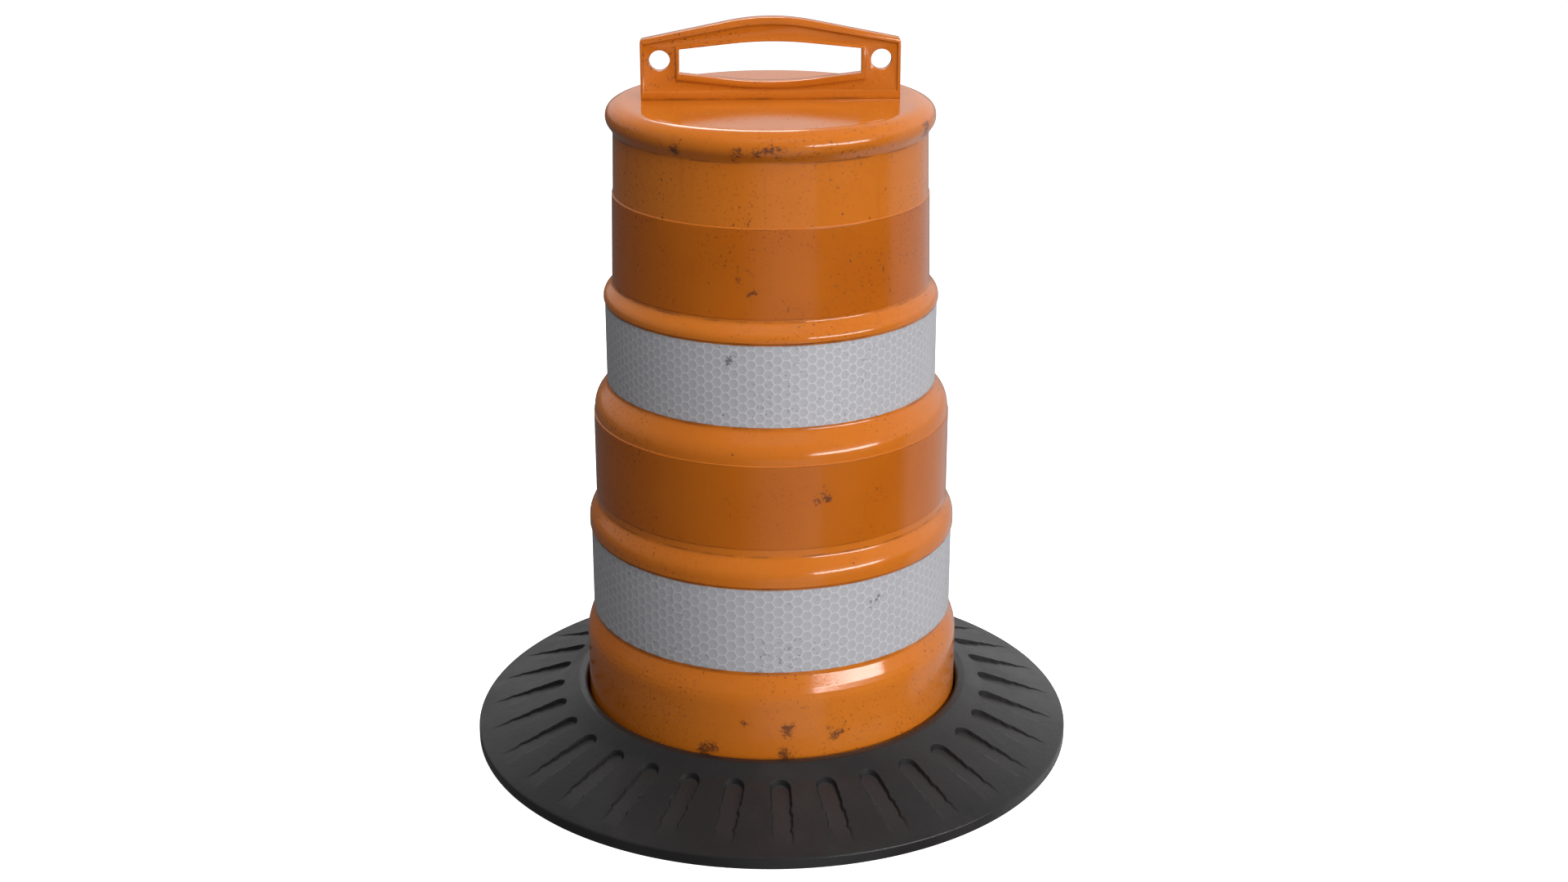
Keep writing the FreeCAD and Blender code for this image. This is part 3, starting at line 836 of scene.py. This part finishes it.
@dataclass
class OrangeStrip(SheetingStrip):
    """A plain orange strip, which may lean in with its panel."""

    taper: float = 0.0
    steps: int = 224
    lap_steps: int = 6
    chord_turn: float = 30.0

    def _ring(self, name: str, lift: float, angle: float, steps: int) -> bpy.types.Object:
        """Spin the strip's section, lifted off its land."""
        lean = self.taper * (self.top - self.foot)
        low, high = self.radius + lift, self.radius + lift - lean
        wall, soft = self.thickness, self.edge_round
        seam = Corner(low - wall - lean / 2.0, (self.foot + self.top) / 2.0)
        section = rounded([
            seam,
            Corner(low - wall, self.foot),
            Corner(low, self.foot, soft),
            Corner(high, self.top, soft),
            Corner(high - wall, self.top),
            seam,
        ], self.chord_turn)
        return lathe(name, held(section), steps, angle)

    def build(self) -> bpy.types.Object:
        """Model the strip and its lap and dress it.

        Returns:
            The finished piece.
        """
        strip = self._ring(self.name, 0.0, TAU, self.steps)
        reach = self.lap_width / self.radius
        lap = self._ring("lap", self.thickness, reach, self.lap_steps)
        turned(lap, TAU / 4.0 - reach / 2.0)
        strip = joined([strip, lap])
        # Dirt and painted shade along the strip's edges.
        creases = (self.foot, self.top)
        weathering = Weathering(stains=BAND_STAINS, creases=creases, crease_reach=1.6)
        finish = OrangeSheeting(f"{self.name}_film", weathering)
        dress(strip, finish.material(), self.node, Body.DRUM)
        return strip


@dataclass
class WhiteStrip(SheetingStrip):
    """A white strip of hexagonal cells, each sunk a little between its walls."""

    columns: int = 126
    cell_wall: float = 1.7
    cell_depth: float = 0.14
    corner_cut: float = 1.5

    def _tile(self, side: float) -> bpy.types.Object:
        """Model two neighbouring cells, flat, with their outside up.

        Args:
            side: Length of a cell's side, in metres.

        Returns:
            The pair of cells, with the attribute cell_wall on its faces.
        """
        cells = []
        across, along = 1.5 * side, math.sqrt(0.75) * side
        for number in range(2):
            cell = started(f"cell_{number}", bpy.ops.mesh.primitive_circle_add,
                           vertices=6, radius=side, fill_type="NGON",
                           location=(across * number, along * number, 0.0),
                           rotation=(0.0, 0.0, TAU / 12.0))
            edit(cell)
            bpy.ops.mesh.inset(thickness=self.cell_wall / 2.0 * MM, depth=0.0)
            bpy.ops.transform.translate(value=(0.0, 0.0, -self.cell_depth * MM))
            bpy.ops.mesh.bevel(offset=self.corner_cut * MM, segments=1, affect="VERTICES")
            bpy.ops.object.mode_set(mode="OBJECT")
            settle()
            cells.append(cell)
        tile = joined(cells)
        walls = tile.data.attributes.new("cell_wall", "FLOAT", "FACE")
        for face, value in zip(tile.data.polygons, walls.data):
            value.value = 0.0 if len(face.vertices) > 6 else 1.0
        return tile

    def _flat(self, name: str, length: float, side: float) -> bpy.types.Object:
        """Lay cells out and trim them to a flat strip that stands on the XY plane.

        Args:
            name: The strip's name.
            length: The strip's length, in metres.
            side: Length of a cell's side, in metres.

        Returns:
            The strip, centred on x = 0, with its outside towards -Y.
        """
        strip = self._tile(side)
        strip.name = name
        height = (self.top - self.foot) * MM
        pitch = math.sqrt(3.0) * side
        pairs = math.ceil(length / (3.0 * side)) + 1
        rows = math.ceil(height / pitch) + 1
        meet = {"use_merge_vertices": True, "merge_threshold": WELD * 10.0,
                "use_relative_offset": False, "use_constant_offset": True}
        for count, step in ((pairs, (3.0 * side, 0.0, 0.0)), (rows, (0.0, pitch, 0.0))):
            modify(strip, "ARRAY", count=count, constant_offset_displace=step, **meet)
        cuts = [((0.0, pitch / 2.0, 0.0), (0.0, -1.0, 0.0)),
                ((0.0, pitch / 2.0 + height, 0.0), (0.0, 1.0, 0.0)),
                ((0.0, 0.0, 0.0), (-1.0, 0.0, 0.0)),
                ((length, 0.0, 0.0), (1.0, 0.0, 0.0))]
        for place, normal in cuts:
            edit(strip)
            bpy.ops.mesh.bisect(plane_co=place, plane_no=normal, clear_outer=True)
        bpy.ops.object.mode_set(mode="OBJECT")
        strip.location = (-length / 2.0, -pitch / 2.0, 0.0)
        settle()
        strip.rotation_euler = (TAU / 4.0, 0.0, 0.0)
        settle()
        return strip

    def _bent(self, strip: bpy.types.Object, radius: float, angle: float) -> None:
        """Bend a flat strip round the drum and give it its thickness.

        Args:
            strip: The flat strip.
            radius: Radius of its outside, in metres.
            angle: How far round the drum it goes.
        """
        modify(strip, "SIMPLE_DEFORM", deform_method="BEND", deform_axis="Z", angle=angle)
        strip.location = (0.0, -radius, self.foot * MM)
        settle()
        weld_open(strip)
        modify(strip, "SOLIDIFY", thickness=self.thickness * MM, offset=-1.0,
               use_even_offset=True)

    def build(self) -> bpy.types.Object:
        """Model the strip and its lap and dress it.

        Returns:
            The finished piece.
        """
        radius = self.radius * MM
        length = TAU * radius
        side = length / self.columns / 1.5
        strip = self._flat(self.name, length, side)
        self._bent(strip, radius, TAU)
        lap = self._flat("lap", self.lap_width * MM, side)
        outer = radius + self.thickness * MM
        self._bent(lap, outer, self.lap_width * MM / outer)
        turned(lap, math.pi)
        strip = joined([strip, lap])
        # Dirt and painted shade along the strip's edges.
        creases = (self.foot, self.top)
        weathering = Weathering(stains=BAND_STAINS, creases=creases, crease_reach=1.6, amount=0.8)
        finish = WhiteSheeting(f"{self.name}_film", weathering)
        dress(strip, finish.material(), self.node, Body.DRUM)
        return strip


# --------------------------------------------------------------------- handle


@dataclass
class CarryHandle:
    """The ribbed plate with its hand opening, with softened moulded edges."""

    node: str = "handle"
    thickness: float = 19.0
    recess: float = 2.5
    edge_round: float = 0.7
    crease_angle: float = math.radians(30.0)
    flat_angle: float = math.radians(0.4)
    facing_up: float = 0.3

    def _mark_recess_shade(self, handle: bpy.types.Object) -> None:
        """Store an attribute of painted shade on the recesses' walls, but not on those that face up.
        """
        face_side = self.thickness / 2.0 * MM
        field_side = face_side - self.recess * MM
        walls = handle.data.attributes.new("recess_shade", "FLOAT", "FACE")
        for face, wall in zip(handle.data.polygons, walls.data):
            sides = [handle.data.vertices[index].co.y for index in face.vertices]
            depths = [abs(side) for side in sides]
            one_side = min(sides) * max(sides) > 0.0
            across = abs(max(depths) - face_side) < WELD and abs(min(depths) - field_side) < WELD
            faces_up = face.normal.z > self.facing_up
            wall.value = 1.0 if one_side and across and not faces_up else 0.0

    def build(self, nodes: dict[str, bpy.types.Object]) -> bpy.types.Object:
        """Soften a copy of the CAD solid and dress it.

        Args:
            nodes: The frame's CAD nodes.

        Returns:
            The finished piece.
        """
        source = nodes[self.node]
        handle = bpy.data.objects.new("carry_handle", source.data.copy())
        bpy.context.scene.collection.objects.link(handle)
        weld(handle)
        bpy.ops.mesh.dissolve_limited(angle_limit=self.flat_angle)
        bpy.ops.object.mode_set(mode="OBJECT")
        self._mark_recess_shade(handle)
        modify(handle, "BEVEL", width=self.edge_round * MM, segments=2, limit_method="ANGLE",
               angle_limit=self.crease_angle, harden_normals=False, use_clamp_overlap=True)
        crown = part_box("drum_shell")[1][2] / MM
        # Dirt and painted shade where the handle meets the crown.
        weathering = Weathering(creases=(crown,), crease_reach=5.0, amount=1.2)
        # Painted shade on the recess walls, from their attribute.
        finish = MouldedPlastic("handle_orange", weathering, shaded="recess_shade")
        dress(handle, finish.material(), self.node, Body.DRUM)
        return handle


# --------------------------------------------------------------- ballast ring


@dataclass(frozen=True)
class GrooveLine:
    """A line that runs along a groove, beside its edge.

    The offset is in millimetres out from the edge; depth is the share of the groove's
    depth there, and follow how far the line follows the edge's ripple.
    """

    offset: float
    depth: float
    follow: float


@dataclass(frozen=True)
class Wave:
    """One of the waves in a groove's edge: its swing, length and shift in millimetres."""

    swing: float
    length: float
    shift: float


class Stretch(Enum):
    """The stretches of a line round a groove."""

    TIP = "tip"
    SIDE = "side"
    RIM = "rim"


@dataclass(frozen=True)
class Station:
    """A place along the lines that run up one side of a groove, round its tip and down.

    The value is the share of the way round the tip, the radius in millimetres along a
    side, or the number of the rim's point; the side is -1 or 1.
    """

    stretch: Stretch
    value: float
    side: int = 1


@dataclass
class BallastRing:
    """A moulded rubber ring with drain grooves that run out down its slope."""

    node: str = "ballast_ring"
    grooves: int = 32
    half_width: float = 15.0
    depth: float = 7.2
    tip_radius: float = 324.0
    end_radius: float = 440.0
    inner_edge: float = 308.0
    slope_end: float = 447.0
    side_steps: int = 60
    side_turn: int = 4
    tip_across: int = 8
    lines: tuple[GrooveLine, ...] = (
        GrooveLine(-15.0, 1.0, 0.0),
        GrooveLine(-10.0, 1.0, 0.1),
        GrooveLine(-6.0, 1.0, 0.4),
        GrooveLine(-3.2, 1.0, 0.9),
        GrooveLine(-2.3, 0.93, 1.0),
        GrooveLine(-1.5, 0.74, 1.0),
        GrooveLine(0.0, 0.10, 1.0),
        GrooveLine(0.6, 0.0, 1.0),
        GrooveLine(2.4, 0.0, 0.5),
    )
    outer_lines: int = 4
    run_out: float = 30.0
    calm: float = 18.0
    rouse: float = 35.0
    waves: tuple[Wave, ...] = (Wave(0.9, 5.3, 1.3), Wave(0.75, 2.7, -2.1), Wave(0.35, 1.6, 1.0))
    outline: tuple[Corner, ...] = (
        Corner(452.0, 0.0),
        Corner(457.2, 0.0, 1.6),
        Corner(457.2, 17.0, 4.0),
        Corner(325.0, 66.0, 60.0),
        Corner(300.7, 81.0, 6.0),
        Corner(286.7, 81.0, 6.0),
        Corner(286.7, 4.3),
        Corner(303.2, 4.3),
        Corner(303.2, 0.0),
    )
    fineness: float = 6.0
    rim_height: float = 15.0
    top: list[Vector] = field(init=False)
    lip: list[Vector] = field(init=False)
    rim: list[Vector] = field(init=False)

    def __post_init__(self) -> None:
        """Part the ring's section into its top, its inner lip and its outer rim."""
        section = rounded(self.outline, self.fineness)
        crest = max(range(len(section)), key=lambda index: (section[index].y, section[index].x))
        self.top = [point for point in section[:crest + 1] if point.y > self.rim_height]
        edge = Vector((self.inner_edge, self.surface(self.inner_edge)))
        self.lip = [edge, *(point for point in section if point.x < self.inner_edge - 0.5)]
        before = [point for point in section if point.x > self.slope_end + 3.0]
        self.rim = [*before[::-1], self.outline[0].point()]

    def surface(self, radius: float) -> float:
        """Height of the ring's top at a radius, with no groove."""
        for outer, inner in zip(self.top, self.top[1:]):
            if inner.x <= radius <= outer.x:
                share = (outer.x - radius) / max(outer.x - inner.x, 1e-6)
                return outer.y + share * (inner.y - outer.y)
        return self.top[0].y

    def _ripple(self, radius: float, side: int) -> float:
        """How far a groove's edge strays there, in millimetres."""
        along = radius - self.tip_radius
        rise = clamped((along - self.calm) / self.rouse)
        return rise * sum(wave.swing * math.sin(along / wave.length + side * wave.shift)
                          for wave in self.waves)

    def _sunk(self, ahead: float, aside: float, share: float) -> Vector:
        """A point of the top, sunk by a share of the groove's depth there.

        Args:
            ahead: Distance from the axis along the groove, in millimetres.
            aside: Distance from the groove's middle, in millimetres.
            share: Share of the groove's depth.

        Returns:
            The point, in millimetres, for a groove along +X.
        """
        radius = math.hypot(ahead, aside)
        reach = self.end_radius - self.tip_radius
        left = clamped((self.end_radius - ahead) / reach)
        return Vector((ahead, aside, self.surface(radius) - share * left * self.depth))

    def _tip_turns(self) -> int:
        """Steps round the tip, with those that turn from the sides into it."""
        return 2 * self.side_turn + self.tip_across

    def _stations(self) -> list[Station]:
        """Where the lines' points lie, from one outer end round the tip to the other."""
        centre = self.tip_radius + self.half_width
        turns = self._tip_turns()
        tip = [Station(Stretch.TIP, step / turns) for step in range(turns + 1)]
        left, right = (
            [Station(Stretch.SIDE, centre + (self.slope_end - centre) * step / self.side_steps, side)
             for step in range(1, self.side_steps + 1)]
            + [Station(Stretch.RIM, number, side) for number in range(len(self.rim))]
            for side in (-1, 1))
        return left[::-1] + tip + right

    def _border(self, share: float) -> Vector:
        """A point of the sector's border round the tip, as distance ahead and aside."""
        turns = self._tip_turns()
        step = share * turns
        half = math.pi / self.grooves
        centre = self.tip_radius + self.half_width
        if step <= self.side_turn:
            radius = centre + (self.inner_edge - centre) * step / self.side_turn
            angle = -half
        elif step >= turns - self.side_turn:
            radius = centre + (self.inner_edge - centre) * (turns - step) / self.side_turn
            angle = half
        else:
            radius = self.inner_edge
            angle = half * (2.0 * (step - self.side_turn) / self.tip_across - 1.0)
        return Vector((radius * math.cos(angle), radius * math.sin(angle)))

    def _near_edge(self, station: Station, line: GrooveLine) -> Vector:
        """A point of a line that keeps its offset from the groove's edge."""
        reach = self.half_width + line.offset
        if station.stretch is Stretch.TIP:
            centre = self.tip_radius + self.half_width
            bearing = math.pi * (station.value - 0.5)
            return Vector((centre - reach * math.cos(bearing), reach * math.sin(bearing)))
        stray = line.follow * self._ripple(station.value, station.side)
        return Vector((station.value, station.side * (reach + stray)))

    def _point(self, station: Station, row: int) -> Vector:
        """Place one vertex of a sector.

        Args:
            station: Where it lies along its line.
            row: Which line it is on, from the groove's middle outwards.

        Returns:
            The vertex, in millimetres, for a groove along +X.
        """
        if station.stretch is Stretch.RIM:
            return self._rim_point(station, row)
        last = len(self.lines) - 1
        line = self.lines[min(row, last)]
        near = self._near_edge(station, line)
        if row > last:
            angle = station.side * math.pi / self.grooves
            border = Vector((math.cos(angle), math.sin(angle))) * station.value
            if station.stretch is Stretch.TIP:
                border = self._border(station.value)
            near = near.lerp(border, (row - last) / self.outer_lines)
        return self._sunk(near.x, near.y, line.depth)

    def _rim_point(self, station: Station, row: int) -> Vector:
        """Place one vertex of a sector's rim, in line with the slope's last one."""
        spot = self.rim[int(station.value)]
        inner = self._point(Station(Stretch.SIDE, self.slope_end, station.side), row)
        angle = math.atan2(inner.y, inner.x)
        return Vector((spot.x * math.cos(angle), spot.x * math.sin(angle), spot.y))

    def _mark(self, part: str, station: Station, row: int) -> float:
        """How much a vertex belongs to a groove's wall or floor.

        Args:
            part: Either wall or floor.
            station: Where the vertex lies along its line.
            row: Which line it is on, from the groove's middle outwards.

        Returns:
            A share that fades where the groove runs out.
        """
        if station.stretch is Stretch.RIM or row >= len(self.lines):
            return 0.0
        depth = self.lines[row].depth
        inside = 0.05 < depth < 0.95 if part == "wall" else depth > 0.95
        fade = 1.0
        if station.stretch is Stretch.SIDE:
            # The mark is gone a millimetre before the groove is.
            fade = clamped((self.end_radius - station.value - 1.0) / self.run_out)
        return fade if inside else 0.0

    def _sector(self) -> bpy.types.Object:
        """Model one groove with the slope and rim around it."""
        stations = self._stations()
        columns = len(stations) - 1
        rows = len(self.lines) - 1 + self.outer_lines
        sector = started("ring_rubber", bpy.ops.mesh.primitive_grid_add,
                         x_subdivisions=columns, y_subdivisions=rows, size=1.0)
        # Marks for the material: painted shade on the groove walls and a painted reflection on the
        # floors.
        marks = {part: sector.data.attributes.new(f"groove_{part}", "FLOAT", "POINT")
                 for part in ("wall", "floor")}
        for index, vertex in enumerate(sector.data.vertices):
            column = round((vertex.co.x + 0.5) * columns)
            row = round((vertex.co.y + 0.5) * rows)
            for part, mark in marks.items():
                mark.data[index].value = self._mark(part, stations[column], row)
            vertex.co = self._point(stations[column], row) * MM
        return sector

    def build(self) -> bpy.types.Object:
        """Model the ring and dress it.

        Returns:
            The finished piece.
        """
        ring = self._sector()
        weld_open(ring)
        edit(ring)
        copies = self.grooves - 1
        bpy.ops.mesh.spin(steps=copies, dupli=True, angle=TAU * copies / self.grooves,
                          center=(0.0, 0.0, 0.0), axis=(0.0, 0.0, 1.0))
        bpy.ops.object.mode_set(mode="OBJECT")
        lip = lathe("ring_lip", self.lip, self.grooves * self.tip_across)
        ring = joined([ring, lip])
        weld(ring, WELD * 5.0)
        bpy.ops.mesh.select_all(action="DESELECT")
        bpy.ops.mesh.select_mode(type="EDGE")
        bpy.ops.mesh.select_non_manifold(extend=False)
        bpy.ops.mesh.bridge_edge_loops()
        clean(ring)
        dress(ring, BallastRubber("ballast_rubber").material(), self.node, Body.BALLAST)
        return ring


# ---------------------------------------------------------------------- stage


@dataclass(frozen=True)
class SoftBox:
    """A rectangular soft box that faces the drum's middle.

    The bearing is in degrees from the front, -Y, towards +X, and the rise in degrees
    above the horizon. Lengths are metres and the power is watts. A box that isn't
    mirrored doesn't show in glossy surfaces; one that doesn't light shows only there.
    """

    name: str
    bearing: float
    rise: float
    away: float
    size: tuple[float, float]
    power: float
    mirrored: bool = True
    lights: bool = True
    middle: tuple[float, float, float] = (0.0, 0.0, 0.55)

    def hang(self) -> None:
        """Add the light to the scene."""
        turn, lift = math.radians(self.bearing), math.radians(self.rise)
        out = Vector((math.sin(turn) * math.cos(lift), -math.cos(turn) * math.cos(lift),
                      math.sin(lift)))
        light = bpy.data.lights.new(self.name, "AREA")
        light.shape = "RECTANGLE"
        light.size, light.size_y = self.size
        light.energy = self.power
        lamp = bpy.data.objects.new(self.name, light)
        lamp.location = Vector(self.middle) + out * self.away
        lamp.rotation_euler = out.to_track_quat("Z", "Y").to_euler()
        lamp.visible_camera = False
        lamp.visible_glossy = self.mirrored
        lamp.visible_diffuse = self.lights
        bpy.context.scene.collection.objects.link(lamp)


def set_scenery(piece: bpy.types.Object, material: bpy.types.Material) -> None:
    """Dress a piece of the stage, which only the camera sees."""
    piece.data.materials.append(material)
    piece.visible_diffuse = False
    piece.visible_glossy = False
    piece.visible_shadow = False


@dataclass
class Studio:
    """A pale floor, a soft sky, a pale dome, the soft boxes and the camera."""

    floor_size: float = 90.0
    floor_colour: Colour = (0.90, 0.90, 0.90)
    floor_shade: Colour = (0.88, 0.88, 0.88)
    floor_glow: float = 0.70
    dome_colour: Colour = (0.96, 0.96, 0.96)
    dome_shade: Colour = (0.94, 0.94, 0.94)
    sky_colour: Colour = (0.98, 0.98, 1.0)
    camera_place: tuple[float, float, float] = (-0.1073, -3.0723, 1.6034)
    camera_turn: tuple[float, float, float] = (69.643, 0.0, -2.357)
    lens: float = 50.0
    boxes: tuple[SoftBox, ...] = (
        SoftBox("key_box", 47.0, 13.0, 10.0, (7.6, 2.0), 560.0, mirrored=False),
        SoftBox("glint_box", 44.5, 5.3, 6.0, (4.8, 0.6), 160.0, lights=False),
        SoftBox("low_box", 30.0, -16.0, 1.3, (0.8, 0.3), 2.4, mirrored=False),
        SoftBox("rear_box", 185.0, 41.0, 4.0, (1.2, 0.8), 18.0),
        SoftBox("fill_box", 0.0, 60.0, 4.0, (3.0, 2.2), 103.0, mirrored=False),
        SoftBox("top_box", 20.0, 84.0, 4.0, (3.0, 3.0), 30.0, mirrored=False),
        SoftBox("back_box", 195.0, 38.0, 4.0, (3.0, 2.2), 55.0, mirrored=False),
    )

    def _floor(self) -> None:
        """Lay the floor."""
        floor = started("floor", bpy.ops.mesh.primitive_plane_add, size=self.floor_size)
        bench = Bench(bpy.data.materials.new("floor_paper"))
        shade = bench.noise(bench.place(), 0.6, 2.0).between(0.3, 0.7)
        colour = bench.mix(shade * 0.02, self.floor_colour, self.floor_shade)
        set_scenery(floor, bench.finish(
            Base_Color=colour, Roughness=0.9, Emission_Color=(1.0, 1.0, 1.0),
            Emission_Strength=self.floor_glow))

    def _sky(self) -> None:
        """Light everything softly: brightest behind on the right, dim from below."""
        world = bpy.data.worlds.new("studio")
        bpy.context.scene.world = world
        bench = Bench(world)
        way = bench.add("ShaderNodeTexCoord", output="Generated")
        right, back, rise = (bench.axis(way, name) for name in "XYZ")
        # Above the horizon: brighter behind, less so overhead, and brighter on the right.
        behind = back.between(-0.7, 0.7)
        above = behind * 0.46 + 0.24 - rise.between(0.42, 0.80) * behind * 0.40
        above = above * (right * 0.42 + 1.0)
        # Below it: dim but for the back on the right.
        below = right.between(0.05, 0.50) * back.between(-0.04, 0.12) * 0.50 + 0.10
        # A low card in front that fades out on the left and ends sharply on the right.
        bearing = bench.add("ShaderNodeMath", {"operation": "ARCTAN2"}, {0: right, 1: back * -1.0})
        card = bearing.between(-0.45, 0.05) * bearing.between(0.56, 0.50)
        card = card * rise.between(-0.05, -0.18) * 0.42
        over = rise.between(-0.06, 0.10)
        level = over * above + (1.0 - over) * below + card
        glow = bench.add("ShaderNodeBackground", sockets={
            "Color": self.sky_colour, "Strength": level})
        bench.add("ShaderNodeOutputWorld", sockets={"Surface": glow})

    def _backdrop(self) -> None:
        """Hang a pale dome that only the camera sees."""
        dome = started("backdrop", bpy.ops.mesh.primitive_uv_sphere_add, segments=48,
                       ring_count=24, radius=self.floor_size * 0.45)
        bench = Bench(bpy.data.materials.new("backdrop_paper"))
        shade = bench.noise(bench.place(), 0.02, 1.0).between(0.2, 0.8)
        colour = bench.mix(shade * 0.01, self.dome_colour, self.dome_shade)
        set_scenery(dome, bench.finish(
            Base_Color=(0.0, 0.0, 0.0), Emission_Color=colour, Emission_Strength=1.0))

    def _camera(self) -> None:
        """Place the camera."""
        lens = bpy.data.cameras.new("camera")
        lens.lens = self.lens
        camera = bpy.data.objects.new("camera", lens)
        camera.location = self.camera_place
        camera.rotation_euler = [math.radians(angle) for angle in self.camera_turn]
        bpy.context.scene.collection.objects.link(camera)
        bpy.context.scene.camera = camera

    def build(self) -> None:
        """Set the stage."""
        self._floor()
        self._sky()
        self._backdrop()
        for box in self.boxes:
            box.hang()
        self._camera()
        bpy.context.scene.view_settings.view_transform = "Standard"


# ----------------------------------------------------------------------- main


def main() -> None:
    """Build the drum around the frame."""
    logging.basicConfig(level=logging.INFO, format="%(name)s: %(message)s")
    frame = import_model()
    Studio().build()
    DrumShell().build()
    OrangeStrip("orange_band_upper", "upper_orange_strip", taper=0.02217).build()
    WhiteStrip("white_band_upper", "upper_white_strip").build()
    OrangeStrip("orange_band_lower", "lower_orange_strip").build()
    WhiteStrip("white_band_lower", "lower_white_strip").build()
    CarryHandle().build(frame["nodes"])
    BallastRing().build()
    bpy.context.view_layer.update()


if __name__ == "__main__":
    main()
